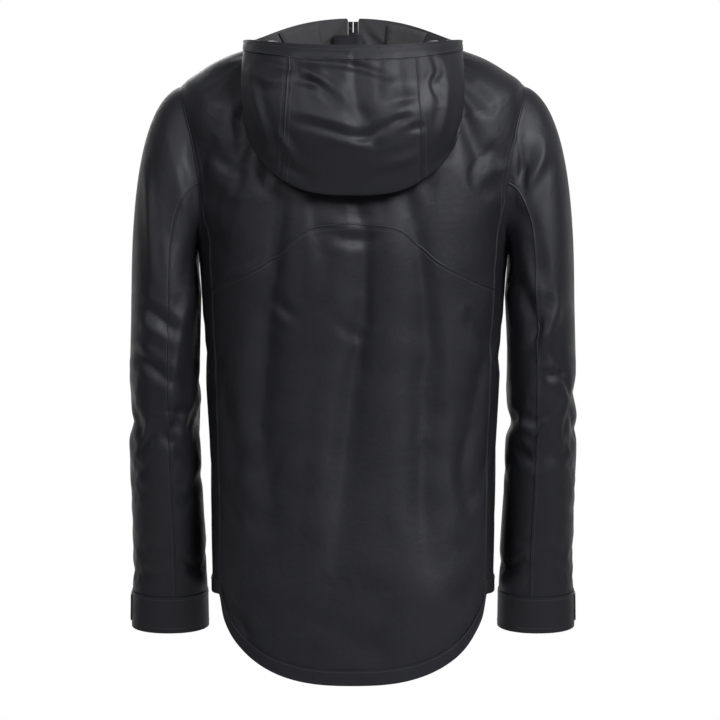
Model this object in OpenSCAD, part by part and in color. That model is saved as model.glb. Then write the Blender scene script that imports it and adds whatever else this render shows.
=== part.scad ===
// Hardshell jacket, zipped up and filled as if worn: soft shell panels, hood, sleeves, zips and cord locks.
// The wearer faces -Y, the wearer's left is +X, and the origin is where the shoulders carry the jacket.

/* [Body] */
// Half width of the body at the side hem
hem_half_width = 176; // [168:1:182]
// Height of the side hem, below the shoulders
side_hem_z = -672; // [-700:1:-660]
// How far the drop tail hangs below the side hem
tail_drop = 106; // [60:1:120]
// Half width at the shoulder points
shoulder_half = 214; // [206:1:222]
// Half width of the neck seam
neck_half = 98; // [90:1:104]
// Depth of the back, from the side line, at the shoulder blades
back_depth = 122; // [112:1:128]

/* [Collar and hood] */
// Height of the collar's top edge at the centre front
collar_top_z = 53; // [40:1:60]
// Half width of the hood opening where it folds over the shoulders
opening_half = 138; // [130:1:144]
// How far the folded hood hangs down the back
hood_drop = 184; // [150:1:195]
// How far the folded hood stands out behind its own edges
hood_bulge = 62; // [45:1:75]

/* [Sleeves] */
// Height of the sleeve end
sleeve_end_z = -721; // [-745:1:-710]
// Width of the cuff band
cuff_length = 46; // [36:1:60]

/* [Fabric] */
// Thickness of the laminate with its seams and air
fabric = 2.5; // [2:0.1:3]

/* [Hidden] */
$fn = 32;
shell_black = [0.10, 0.10, 0.11];
lining_grey = [0.16, 0.16, 0.17];
trim_black = [0.05, 0.05, 0.05];
metal_grey = [0.25, 0.25, 0.26];

// ---------- Curves and slabs ----------

// A cosine or sine raised to a power, keeping its sign: the corner shape of a rounded section.
function rounded(c, p) = sign(c) * pow(abs(c), p);

// The span of a table [[key, value], ...] that holds x.
function span(t, x, i = 0) = (i >= len(t) - 2 || x < t[i + 1][0]) ? i : span(t, x, i + 1);

function slope(t, i) =
    let (a = max(i - 1, 0), b = min(i + 1, len(t) - 1))
    (t[b][1] - t[a][1]) / (t[b][0] - t[a][0]);

// A smooth curve through the table's values, straight beyond its ends.
function smooth(t, x) =
    let (last = len(t) - 1)
    x < t[0][0] ? t[0][1] + slope(t, 0) * (x - t[0][0]) :
    x > t[last][0] ? t[last][1] + slope(t, last) * (x - t[last][0]) :
    let (i = span(t, x), h = t[i + 1][0] - t[i][0], s = (x - t[i][0]) / h)
    (1 + 2 * s) * pow(1 - s, 2) * t[i][1] + s * pow(1 - s, 2) * h * slope(t, i)
    + s * s * (3 - 2 * s) * t[i + 1][1] - s * s * (1 - s) * h * slope(t, i + 1);

function lerp(a, b, s) = a + (b - a) * s;

// A curve from a to b that is pulled towards m.
function bend(a, m, b, s) = pow(1 - s, 2) * a + 2 * s * (1 - s) * m + s * s * b;

function unit(v) = v / norm(v);

// Points across a panel crowd a little towards both ends, where edges curve fastest.
function crowded(s) = (cos(180 * s) + 1 - 2 * s) / 2;

// A closed slab. skin(s, t, d) is the point at share s across and t along, d below the outer face.
module slab(skin, columns, rows, d0 = 0, d1 = fabric, closed = false) {
    across = closed ? columns : columns + 1;
    layer = across * (rows + 1);
    points = [
        for (d = [d0, d1]) for (j = [0:rows]) for (i = [0:across - 1]) skin(i / columns, j / rows, d)
    ];
    function at(i, j, side) = side * layer + j * across + i % across;
    function quad(a, b, c, d) = [[a, b, c], [a, c, d]];
    faces = [
        for (j = [0:rows - 1]) for (i = [0:columns - 1]) each concat(
            quad(at(i, j, 0), at(i, j + 1, 0), at(i + 1, j + 1, 0), at(i + 1, j, 0)),
            quad(at(i, j, 1), at(i + 1, j, 1), at(i + 1, j + 1, 1), at(i, j + 1, 1))
        ),
        for (i = [0:columns - 1]) each concat(
            quad(at(i, 0, 0), at(i + 1, 0, 0), at(i + 1, 0, 1), at(i, 0, 1)),
            quad(at(i, rows, 0), at(i, rows, 1), at(i + 1, rows, 1), at(i + 1, rows, 0))
        ),
        if (!closed) for (j = [0:rows - 1]) each concat(
            quad(at(0, j, 0), at(0, j, 1), at(0, j + 1, 1), at(0, j + 1, 0)),
            quad(at(columns, j, 0), at(columns, j + 1, 0), at(columns, j + 1, 1), at(columns, j, 1))
        )
    ];
    polyhedron(points, faces, convexity = 6);
}

// The point f(a, b) moved d along the surface's normal, inwards for turn 1 and outwards for turn -1.
function below(f, a, b, d, turn, step_a = 0.5, step_b = 0.004) =
    d == 0 ? f(a, b) :
    f(a, b) - turn * d * unit(cross(f(a + step_a, b) - f(a - step_a, b), f(a, b + step_b) - f(a, b - step_b)));

// Places children with their z axis along a direction and their -y axis facing outwards.
module placed(origin, along, outward) {
    z = unit(along);
    y = -unit(outward - (outward * z) * z);
    x = cross(y, z);
    multmatrix([
        [x[0], y[0], z[0], origin[0]],
        [x[1], y[1], z[1], origin[1]],
        [x[2], y[2], z[2], origin[2]],
    ]) children();
}

module both_sides(side) {
    if (side > 0) children();
    else mirror([1, 0, 0]) children();
}

// ---------- Body shell ----------

// The centre front is one straight line, because the slider runs along it.
zip_foot = [0, -132, side_hem_z];
zip_head = [0, -90, collar_top_z];
zip_along = unit(zip_foot - zip_head);
zip_out = [0, -1, 0];
zip_gap = 6.5;
function zip_y(z) = lerp(zip_foot[1], zip_head[1], (z - side_hem_z) / (collar_top_z - side_hem_z));

// Rings of the body from hem to neck: [side x, side y, side z, back y, back z, front z].
TORSO = [
    [0.00, [hem_half_width, -4, side_hem_z, back_depth - 10, side_hem_z, side_hem_z]],
    [0.30, [hem_half_width + 3, -2, -500, back_depth - 15, -500, -500]],
    [0.55, [hem_half_width + 9, 0, -350, back_depth - 9, -350, -350]],
    [0.72, [hem_half_width + 16, 2, -240, back_depth, -245, -250]],
    [0.82, [shoulder_half - 5, 4, -130, back_depth - 4, -165, -180]],
    [0.90, [shoulder_half, 6, -42, back_depth - 18, -100, -128]],
    [0.93, [190, 6, -22, back_depth - 28, -74, -110]],
    [0.96, [156, 5, -4, back_depth - 40, -48, -92]],
    [1.00, [neck_half, 2, 12, back_depth - 58, -10, -66]],
];
side_power = 0.75;
depth_power = 0.8;

// The body's outer surface. u turns from the left side (0) over the back (90) to the right side (180).
function torso(u, v) =
    let (k = smooth(TORSO, v), s = abs(sin(u)), end_z = sin(u) < 0 ? k[5] : k[4],
         end_y = sin(u) < 0 ? zip_y(k[5]) : k[3])
    [k[0] * rounded(cos(u), side_power), lerp(k[1], end_y, pow(s, depth_power)), lerp(k[2], end_z, pow(s, 1.6))];

function torso_skin(u, v, d) = below(function(a, b) torso(a, b), u, v, d, 1);

// The armhole is an eye in (u, v): q is 0 at the shoulder point, 90 at the back, 180 at the armpit.
armhole_u = 27;
armhole_v = 0.81;
armhole_half = 0.09;
side_seam_u = 25;
function armhole_share(x) = sqrt(max(0, 1 - x * x));
function armhole(q) = torso(armhole_u * sin(q), armhole_v + armhole_half * cos(q));

// The panels stop a little short of the armhole, to leave the sleeve free to turn.
cut_u = armhole_u + 0.7;
cut_half = armhole_half + 0.003;
leaves_side_q = 180 - asin(side_seam_u / cut_u);
// How far round from the side the front and back panels start, at height v.
function panel_edge_u(v) =
    v < armhole_v + cut_half * cos(leaves_side_q) ? side_seam_u :
    v < armhole_v + cut_half ? cut_u * armhole_share((v - armhole_v) / cut_half) : 0;
// The angle at share s of the way across the back, between edge and 180 - edge.
function across_back(s, edge = side_seam_u) = acos(cos(edge) * rounded(crowded(s), 1 / side_power));
// Rows of points up the edge of the armhole and over the shoulder.
upper_rows = concat(
    [for (k = [0:7]) armhole_v + cut_half * cos(leaves_side_q * (1 - k / 7))],
    [0.93, 0.96, 0.98, 1]
);

// The angle at which the body is x from its centre plane.
function angle_at(x, v) = acos(min(1, pow(abs(x) / smooth(TORSO, v)[0], 1 / side_power)));

// Height of the yoke seam against |cos u|: flat in the middle, then sloping down to the side seams.
YOKE_SEAM = [[0, 0.753], [0.2, 0.742], [0.44, 0.69], [0.7, 0.658], [0.91, 0.638]];
function yoke_v(u) = smooth(YOKE_SEAM, abs(cos(u)));

// The drop tail, as a share of the body table below the side hem.
tail_v = tail_drop / ((-500 - side_hem_z) / 0.30);
function tail_edge_v(u) =
    let (x = pow(min(1, abs(cos(u)) / cos(side_seam_u)), side_power))
    -tail_v * sqrt(max(0, 1 - pow(x, 2.6)));

module back_yoke() {
    rows = concat([yoke_v(side_seam_u), 0.69, 0.735], upper_rows);
    last = len(rows) - 1;
    skin = function(s, t, d)
        let (rise = (rows[round(t * last)] - rows[0]) / (1 - rows[0]), v = lerp(yoke_v(across_back(s)), 1, rise))
        torso_skin(across_back(s, panel_edge_u(v)), v, d);
    color(shell_black) slab(skin, 18, last);
}

module back_panel() {
    skin = function(s, t, d)
        let (u = across_back(s))
        torso_skin(u, lerp(tail_edge_v(u), yoke_v(u), t), d);
    color(shell_black) slab(skin, 18, 10);
}

// The angle at share s of the way from the zip to the panel's far edge, at height v.
function across_front(s, v) =
    let (centre = zip_gap / smooth(TORSO, v)[0], far = pow(cos(panel_edge_u(v)), side_power))
    360 - acos(pow(lerp(centre, far, 0.75 * s + 0.25 * sin(90 * s)), 1 / side_power));

front_columns = 8;
side_columns = 6;

module front_panel(side) {
    rows = concat([0, 0.1, 0.2, 0.3, 0.4, 0.5, 0.6, 0.69], upper_rows);
    last = len(rows) - 1;
    skin = function(s, t, d)
        let (v = rows[round(t * last)])
        torso_skin(across_front(s, v), v, d);
    color(shell_black) both_sides(side) slab(skin, front_columns, last);
}

module side_panel(side) {
    skin = function(s, t, d)
        let (u = lerp(0.2 - side_seam_u, side_seam_u - 0.2, s))
        torso_skin(u, t * (armhole_v - cut_half * armhole_share(u / cut_u)), d);
    color(shell_black) both_sides(side) slab(skin, side_columns, 8);
}

// ---------- Collar ----------

opening_power = 0.844;
opening_y = 12;
opening_side_z = 10;
brim_y = 135;
brim_dip = 18;

// The rim of the hood opening: the collar's top edge in front, the brim behind.
function opening(u) =
    let (s = abs(sin(u)), front = sin(u) < 0)
    [opening_half * rounded(cos(u), opening_power),
     lerp(opening_y, front ? zip_head[1] : brim_y, pow(s, depth_power)),
     opening_side_z + s * s * (front ? collar_top_z - opening_side_z : -brim_dip)];

// The collar stands up from the neck seam and folds outwards at the sides.
function collar(u, w) =
    let (seam = torso(u, 1), rim = opening(u), c = cos(u))
    bend(seam, (seam + rim) / 2 + c * c * [-8 * sign(c), -3, 12], rim, w);

collar_centre_u = 360 - acos(pow(zip_gap / neck_half, 1 / side_power));

module collar_half(side) {
    skin = function(s, t, d)
        below(function(a, b) collar(a, b), lerp(collar_centre_u, 361, s), lerp(0.012, 1, t), d, 1);
    color(shell_black) both_sides(side) slab(skin, 8, 5);
}

// Brushed patches behind the top of the zip, one on each collar half.
module chin_guard() {
    skin = function(s, t, d)
        let (u = lerp(collar_centre_u + 14, collar_centre_u + 40, s))
        below(function(a, b) collar(a, b), u, lerp(0.45, 0.96, t), d, 1);
    color(lining_grey) for (side = [1, -1]) both_sides(side) slab(skin, 3, 3, fabric + 0.8, fabric + 1.8);
}

// The half moon inside the back neck.
module neck_facing() {
    skin = function(s, t, d)
        let (u = lerp(30, 150, s))
        torso_skin(u, lerp(0.985 - 0.075 * sin(180 * s), 0.996, t), d);
    color(lining_grey) slab(skin, 10, 3, fabric + 1, fabric + 2);
}

loop_r = 6.8;
loop_web = 1.5;
loop_v = 0.977;
// A webbing loop on the neck facing, which a hook goes through.
module hang_loop() {
    wall = torso_skin(90, loop_v, fabric + 2);
    color(trim_black) placed(wall, torso(90, loop_v + 0.01) - torso(90, loop_v - 0.01), wall - [0, 0, wall[2]])
        translate([0, loop_r + 0.7, -4]) linear_extrude(8) difference() {
            offset(r = loop_r) square([38, 0.1], center = true);
            offset(r = loop_r - loop_web) square([38, 0.1], center = true);
        }
}

// ---------- Front zip ----------

tape_in = 0.5;
zip_length = norm(zip_foot - zip_head);
coil_r = 1.4;

module on_zip(down) {
    placed(zip_head + down * zip_along, -zip_along, zip_out) children();
}

// One side of the zip: a coated tape whose outer face lies just below the fabric's.
module front_zip_tape(side) {
    color(trim_black) both_sides(side) on_zip(zip_length)
        translate([tape_in, 0.8, 2]) cube([zip_gap - tape_in - 0.1, 1, zip_length - 6]);
}

module front_zip_coil(side) {
    color(trim_black) both_sides(side) on_zip(zip_length)
        translate([tape_in + 0.3 + coil_r, 1.9 + coil_r, 12]) cylinder(r = coil_r, h = zip_length - 26);
}

module front_zip_top_stops() {
    color(metal_grey) for (side = [1, -1]) both_sides(side) on_zip(7)
        translate([tape_in + 0.5, 1.9, -2]) cube([3, 2.4, 4]);
}

// The box and pin at the foot of the zip.
module front_zip_retainer() {
    color(metal_grey) on_zip(zip_length) difference() {
        translate([-5, 1.9, 1]) cube([10, 3.4, 9]);
        translate([-0.4, 1, 3]) cube([0.8, 6, 8]);
    }
}

// The flap behind the zip that keeps wind out, sewn to the left front.
module storm_flap() {
    color(shell_black) on_zip(zip_length) translate([0, 0, 24]) linear_extrude(zip_length - 46)
        polygon([[-12, 8.2], [22.6, 8.2], [22.6, 4.4], [24, 4.4], [24, 9.6], [-12, 9.6]]);
}

slider_rest = 24;
pin_y = -4;
pin_r = 0.9;

// A slider's outer wing with the two posts and the pin that hold its puller.
module slider_wing(w, h) {
    translate([0, -0.5, 0]) rotate([90, 0, 0]) linear_extrude(1.2)
        offset(r = 2) square([w - 4, h - 4], center = true);
    for (side = [1, -1]) translate([side * 2.6 - 0.6, pin_y - 1.5, -1.8]) cube([1.2, 4, 3.6]);
    translate([-2.6, pin_y, 0]) rotate([0, 90, 0]) cylinder(r = pin_r, h = 5.2);
}

// A puller hanging from the pin: a round eye and a grip that widens downwards.
module puller_shape(length) {
    difference() {
        union() {
            translate([0, pin_y, 0]) rotate([0, 90, 0]) cylinder(r = 2.1, h = 3, center = true);
            translate([-1.5, pin_y - 0.7, -length * 0.4]) cube([3, 1.4, length * 0.4]);
            translate([-3, pin_y - 1.1, -length]) cube([6, 2.2, length * 0.65]);
        }
        translate([-3, pin_y, 0]) rotate([0, 90, 0]) cylinder(r = pin_r + 0.06, h = 6);
    }
}

module front_zip_slider() {
    color(metal_grey) on_zip(slider_rest) union() {
        slider_wing(9.4, 13);
        translate([-0.3, -0.6, -4]) cube([0.6, 6, 9]);
        translate([-4.6, 5.3, -6]) cube([9.2, 1.2, 12]);
    }
}

module front_zip_puller() {
    color(trim_black) on_zip(slider_rest) puller_shape(34);
}

// ---------- Pocket zips ----------

// Head and foot of each pocket zip as [u, v] on the body, and how far it stands off the fabric.
POCKET = [[304, 0.43], [311, 0.14]];
CHEST = [[299, 0.79], [301, 0.57]];
zip_standoff = 3;

function zip_end(ends, i) = torso(ends[i][0], ends[i][1]);
function zip_span(ends) = norm(zip_end(ends, 0) - zip_end(ends, 1));
// The direction straight out of the fabric at the middle of a pocket zip.
function zip_face(ends) =
    let (m = (ends[0] + ends[1]) / 2)
    unit(torso_skin(m[0], m[1], -1) - torso(m[0], m[1]));

module on_pocket(ends) {
    placed(zip_end(ends, 0) + zip_standoff * zip_face(ends), zip_end(ends, 0) - zip_end(ends, 1), zip_face(ends))
        children();
}

// Two tape halves with a slit between them for the slider's neck.
module pocket_zip_strip(ends) {
    length = zip_span(ends);
    for (side = [1, -1]) both_sides(side) translate([0.4, 0.4, -length]) cube([6, 1.2, length]);
    translate([-6.4, 0.4, -length - 2]) cube([12.8, 1.2, 2]);
    translate([-6.4, 0.4, 0]) cube([12.8, 1.2, 2]);
}

module pocket_slider_body() {
    slider_wing(8, 11);
    translate([-0.25, -0.6, -3]) cube([0.5, 2, 6]);
}

pocket_rest = 8;
module at_pocket_slider(ends) {
    on_pocket(ends) translate([0, 0, -pocket_rest]) children();
}

module pocket_zip(side) {
    color(trim_black) both_sides(side) on_pocket(POCKET) pocket_zip_strip(POCKET);
}
module pocket_slider(side) {
    color(metal_grey) both_sides(side) at_pocket_slider(POCKET) pocket_slider_body();
}
module pocket_puller(side) {
    color(trim_black) both_sides(side) at_pocket_slider(POCKET) puller_shape(28);
}
module chest_zip() {
    color(trim_black) on_pocket(CHEST) pocket_zip_strip(CHEST);
}
module chest_slider() {
    color(metal_grey) at_pocket_slider(CHEST) pocket_slider_body();
}
module chest_puller() {
    color(trim_black) at_pocket_slider(CHEST) puller_shape(28);
}

// A flat bag sewn behind a front panel, between two angles and two heights.
module bag(u0, u1, v0, v1) {
    skin = function(s, t, d) torso_skin(lerp(u0, u1, s), lerp(v0, v1, t), d);
    color(lining_grey) slab(skin, 4, 4, fabric + 1.6, fabric + 3);
}
module pocket_bag(side) {
    both_sides(side) bag(286, 322, 0.10, 0.46);
}
module chest_pocket_bag() {
    bag(288, 312, 0.55, 0.80);
}

// ---------- Hem ----------

hem_width_v = 0.036;
cord_depth = 4.2;
cord_r = 1.2;

// The turned-up hem leaves the fabric at its lower edge and stands off it to make a channel.
TUNNEL = [[0, 0.05], [0.12, 2.6], [0.3, 4], [1, 4]];
tunnel_rows = [0, 0.05, 0.12, 0.3, 1];
function tunnel_depth(t, d) = fabric + smooth(TUNNEL, t) + d;

module hem_tunnel_back() {
    skin = function(s, t, d)
        let (u = across_back(s), row = tunnel_rows[round(t * 4)])
        torso_skin(u, tail_edge_v(u) + row * hem_width_v, tunnel_depth(row, d));
    color(shell_black) slab(skin, 18, 4, 0, 1);
}

module hem_tunnel_side(side) {
    skin = function(s, t, d)
        let (row = tunnel_rows[round(t * 4)], v = row * hem_width_v, k = round(s * (front_columns + side_columns)),
             u = k < front_columns ? across_front(max(k, 0.3) / front_columns, v)
                 : 360 + lerp(-side_seam_u, side_seam_u - 0.3, (k - front_columns) / side_columns))
        torso_skin(u, v, tunnel_depth(row, d));
    color(shell_black) both_sides(side) slab(skin, front_columns + side_columns, 4, 0, 1);
}

// The straight run of drawcord that a lock slides on, inside the front of the side hem.
run_start = [150, -62, side_hem_z + 24];
run_end = [104, -100, side_hem_z + 24];
run_along = unit(run_end - run_start);

module on_run(side, along) {
    both_sides(side) translate(run_start + along * run_along)
        rotate([0, 0, atan2(run_along[1], run_along[0])]) children();
}

// The cord follows the hem round the back and turns inwards to each run.
function cord_in_hem(u) =
    let (v = sin(u) > 0 && abs(cos(u)) < cos(side_seam_u) ? tail_edge_v(u) : 0)
    torso_skin(u, v + 0.024, cord_depth);
// The cord climbs out over the top of the channel before it turns inwards: [u, v, depth].
CLIMB = [
    [-18, 0.042, 10], [-13, 0.042, 6.2], [-8, 0.042, cord_depth], [-3, 0.036, cord_depth], [2, 0.028, cord_depth],
];
function mirrored(points) = [for (i = [len(points) - 1:-1:0]) [-points[i][0], points[i][1], points[i][2]]];
cord_left = concat(
    [run_end, lerp(run_end, run_start, 0.5), run_start],
    [for (k = CLIMB) torso_skin(k[0], k[1], k[2])],
    [for (u = [7, 13, 19, 24]) cord_in_hem(u)]
);
cord_middle = [for (s = [0.02:0.04:0.98]) cord_in_hem(across_back(s))];
cord_route = concat(cord_left, cord_middle, mirrored(cord_left));

// A round cord swept along a route of points.
module swept(route, r, sides = 8) {
    last = len(route) - 1;
    function along(i) = unit(route[min(i + 1, last)] - route[max(i - 1, 0)]);
    function ring(i) =
        let (z = along(i), x = unit(cross([0, 0, 1], z)), y = cross(z, x))
        [for (k = [0:sides - 1]) route[i] + r * (cos(360 * k / sides) * x + sin(360 * k / sides) * y)];
    points = [for (i = [0:last]) each ring(i)];
    faces = concat(
        [[for (k = [0:sides - 1]) k]],
        [for (i = [0:last - 1]) for (k = [0:sides - 1])
            let (a = i * sides + k, b = i * sides + (k + 1) % sides)
            each [[a, a + sides, b + sides], [a, b + sides, b]]],
        [[for (k = [sides - 1:-1:0]) last * sides + k]]
    );
    polyhedron(points, faces, convexity = 10);
}

module hem_drawcord() {
    color(trim_black) swept(cord_route, cord_r);
}

run_length = norm(run_end - run_start);
module hem_cord_anchors() {
    color(trim_black) for (side = [1, -1]) on_run(side, run_length)
        translate([0.1, -2, -3]) cube([2, 13.6, 11]);
}

lock_rest = 10;
lock_r = 6;
lock_bore_r = 4.6;
button_r = 4.5;
button_travel = 3;

// The barrel of a cord lock, open at the top, with a cross hole for the cord.
module hem_lock(side) {
    color(trim_black) on_run(side, lock_rest) difference() {
        translate([0, 0, -13]) cylinder(r = lock_r, h = 20);
        translate([0, 0, -11]) cylinder(r = lock_bore_r, h = 19);
        translate([-8, 0, 0]) rotate([0, 90, 0]) cylinder(r = 1.7, h = 16);
    }
}

// The button slides in the barrel, and its own cross hole is long enough to clear the cord when pressed.
module hem_button(side) {
    color(trim_black) on_run(side, lock_rest) difference() {
        translate([0, 0, -3.4]) cylinder(r = button_r, h = 14.4);
        translate([-8, -1.7, -1.7]) cube([16, 3.4, 3.4 + button_travel]);
    }
}

// The spring under the button, as a short stack of rings.
module hem_spring(side) {
    color(metal_grey) on_run(side, lock_rest)
        for (k = [0:4]) translate([0, 0, -10.5 + 1.64 * k]) rotate_extrude() translate([2.8, 0]) circle(r = 0.35);
}

// ---------- Hood, folded down on the back ----------

// The height v on the back at which the body is x from its centre plane and z high.
function back_v(x, z, low = 0.6, high = 1, n = 16) =
    let (v = (low + high) / 2)
    n == 0 ? v :
    torso(angle_at(x, v), v)[2] < z ? back_v(x, z, v, high, n - 1) : back_v(x, z, low, v, n - 1);

// The point d outside the back at (x, z).
function off_back(x, z, d) =
    let (v = back_v(x, z), u = angle_at(x, v))
    torso_skin(x < 0 ? 180 - u : u, v, -d);

hood_half = 142;
fold_power = 0.76;
panel_seam_x = 82;

// The folded hood in section: b is 0 at the brim, 1 at the lowest fold and 2 at the neck seam.
function hood(a, b) =
    let (c = cos(a), s = sin(a),
         fold_x = hood_half * rounded(c, fold_power), fold_z = -4 - hood_drop * rounded(s, fold_power),
         seam_x = (neck_half - 2) * rounded(c, 0.8), seam_z = 10 - 18 * s)
    b <= 1
        ? let (rim = opening(a), fold = off_back(fold_x, fold_z, 13))
          bend(rim, (rim + fold) / 2 + [7 * c, hood_bulge * pow(abs(s), 0.8), 0], fold, b)
        : off_back(lerp(fold_x, seam_x, b - 1), lerp(fold_z, seam_z, b - 1), lerp(13, 8, b - 1));

hood_first_a = 2.3;
brim_b = 0.11;
hood_seam_a = acos(pow(panel_seam_x / hood_half, 1 / fold_power));

// Angles of the hood's columns of points, from the left side panel over the centre one to the right.
side_angles = [for (k = [0:6]) lerp(hood_first_a, hood_seam_a, k / 6)];
centre_angles = [for (k = [0:8]) lerp(hood_seam_a, 180 - hood_seam_a, k / 8)];
brim_angles = concat(side_angles, [for (k = [1:7]) centre_angles[k]], [for (k = [6:-1:0]) 180 - side_angles[k]]);

// A strip of hood over some angles. Its middle row runs along the lowest fold when it goes past it.
module hood_strip(angles, b0, b1, rows) {
    last = len(angles) - 1;
    function along(t) = b1 <= 1 ? lerp(b0, b1, t) : t < 0.5 ? lerp(b0, 1, 2 * t) : lerp(1, b1, 2 * t - 1);
    skin = function(s, t, d)
        below(function(a, b) hood(a, b), angles[round((1 - s) * last)], along(t), -d, 1, 0.8, 0.01);
    slab(skin, last, rows);
}

module hood_center_panel() {
    color(shell_black) hood_strip(centre_angles, brim_b, 2, 14);
}
module hood_side(side) {
    color(shell_black) both_sides(side) hood_strip(side_angles, brim_b, 2, 14);
}
// The stiff peak along the edge of the hood.
module hood_brim() {
    color(shell_black) hood_strip(brim_angles, 0, brim_b, 1);
}

// ---------- Sleeves ----------

cap_end_z = -300;
// Rings of the sleeve from the cuff up: height, [centre x, centre y, half width, half depth].
SLEEVE = [
    [sleeve_end_z, [232, -58, 48, 38]],
    [-620, [232, -42, 46, 48]],
    [-520, [235, -20, 44, 58]],
    [-410, [235.5, -4, 43, 68]],
    [cap_end_z, [233.5, 0, 43, 74]],
];
cuff_lean = 0.2;

function sleeve_ring(z, q) =
    let (k = smooth(SLEEVE, z), lean = cuff_lean * (z - cap_end_z) / (sleeve_end_z - cap_end_z))
    [k[0] + k[2] * rounded(cos(q), 0.9), k[1] + k[3] * rounded(sin(q), 0.9), z - lean * k[3] * sin(q)];

// q turns from the outer side (0) over the back (90) to the inner side (180); s is 1 where the cap ends.
function sleeve(q, s) =
    s > 1 ? sleeve_ring(lerp(cap_end_z, sleeve_end_z, s - 1), q) :
    let (top = armhole(q), end = sleeve_ring(cap_end_z, q))
    bend(top, [end[0] + 7 * max(0, -cos(q)), end[1], lerp(top[2], end[2], 0.08)], end, s);

cuff_s = 2 - cuff_length / (cap_end_z - sleeve_end_z);
sleeve_first_s = 0.025;

module sleeve_strip(q0, q1, s0, s1, columns, rows, d0 = 0, d1 = fabric, closed = false) {
    skin = function(s, t, d)
        below(function(a, b) sleeve(a, b), lerp(q1, q0, s), lerp(s0, s1, t), d, -1, 2, 0.01);
    slab(skin, columns, rows, d0, d1, closed);
}

module sleeve_outer(side) {
    color(shell_black) both_sides(side) sleeve_strip(-100, 100, sleeve_first_s, cuff_s, 10, 14);
}
module sleeve_under(side) {
    color(shell_black) both_sides(side) sleeve_strip(100, 260, sleeve_first_s, cuff_s, 8, 14);
}
module cuff(side) {
    color(shell_black) both_sides(side) sleeve_strip(0, 360, cuff_s, 2, 18, 2, 0, fabric, true);
}
module cuff_loop_patch(side) {
    color(lining_grey) both_sides(side)
        sleeve_strip(268, 344, lerp(cuff_s, 2, 0.2), lerp(cuff_s, 2, 0.75), 6, 1, -1.3, -0.5);
}
// The closure tab, sewn down at its outer end and wrapped round the front of the cuff.
tab_hinge_q = 352;
tab_s0 = lerp(cuff_s, 2, 0.12);
tab_s1 = lerp(cuff_s, 2, 0.83);
module cuff_tab(side) {
    color(trim_black) both_sides(side) sleeve_strip(284, tab_hinge_q, tab_s0, tab_s1, 6, 2, -3.8, -1.7);
}
// The sewn end that the tab turns on.
module cuff_tab_base(side) {
    color(trim_black) both_sides(side)
        sleeve_strip(tab_hinge_q + 1.6, tab_hinge_q + 18, tab_s0, tab_s1, 2, 2, -3, -0.1);
}

// ---------- All nodes ----------

back_yoke();
back_panel();
front_panel(1);  // front_panel_left
front_panel(-1);  // front_panel_right
side_panel(1);  // side_panel_left
side_panel(-1);  // side_panel_right
collar_half(1);  // collar_left
collar_half(-1);  // collar_right
chin_guard();
neck_facing();
hang_loop();
storm_flap();
front_zip_tape(1);  // front_zip_tape_left
front_zip_tape(-1);  // front_zip_tape_right
front_zip_coil(1);  // front_zip_coil_left
front_zip_coil(-1);  // front_zip_coil_right
front_zip_top_stops();
front_zip_retainer();
front_zip_slider();
front_zip_puller();
pocket_zip(1);  // pocket_zip_left
pocket_slider(1);  // pocket_slider_left
pocket_puller(1);  // pocket_puller_left
pocket_bag(1);  // pocket_bag_left
pocket_zip(-1);  // pocket_zip_right
pocket_slider(-1);  // pocket_slider_right
pocket_puller(-1);  // pocket_puller_right
pocket_bag(-1);  // pocket_bag_right
chest_zip();
chest_slider();
chest_puller();
chest_pocket_bag();
hem_tunnel_back();
hem_tunnel_side(1);  // hem_tunnel_left
hem_tunnel_side(-1);  // hem_tunnel_right
hem_drawcord();
hem_cord_anchors();
hem_lock(1);  // hem_lock_left
hem_button(1);  // hem_button_left
hem_spring(1);  // hem_spring_left
hem_lock(-1);  // hem_lock_right
hem_button(-1);  // hem_button_right
hem_spring(-1);  // hem_spring_right
hood_center_panel();
hood_side(1);  // hood_side_left
hood_side(-1);  // hood_side_right
hood_brim();
sleeve_outer(1);  // sleeve_outer_left
sleeve_under(1);  // sleeve_under_left
cuff(1);  // cuff_left
cuff_loop_patch(1);  // cuff_loop_patch_left
cuff_tab_base(1);  // cuff_tab_base_left
cuff_tab(1);  // cuff_tab_left
sleeve_outer(-1);  // sleeve_outer_right
sleeve_under(-1);  // sleeve_under_right
cuff(-1);  // cuff_right
cuff_loop_patch(-1);  // cuff_loop_patch_right
cuff_tab_base(-1);  // cuff_tab_base_right
cuff_tab(-1);  // cuff_tab_right
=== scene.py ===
"""Looks of the hooded hardshell jacket: cloth shell, seams, bands, stitches, trims, studio light and camera."""

import math

import bmesh
import bpy
import numpy as np
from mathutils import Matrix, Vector
from mathutils.bvhtree import BVHTree
from mathutils.kdtree import KDTree


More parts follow.
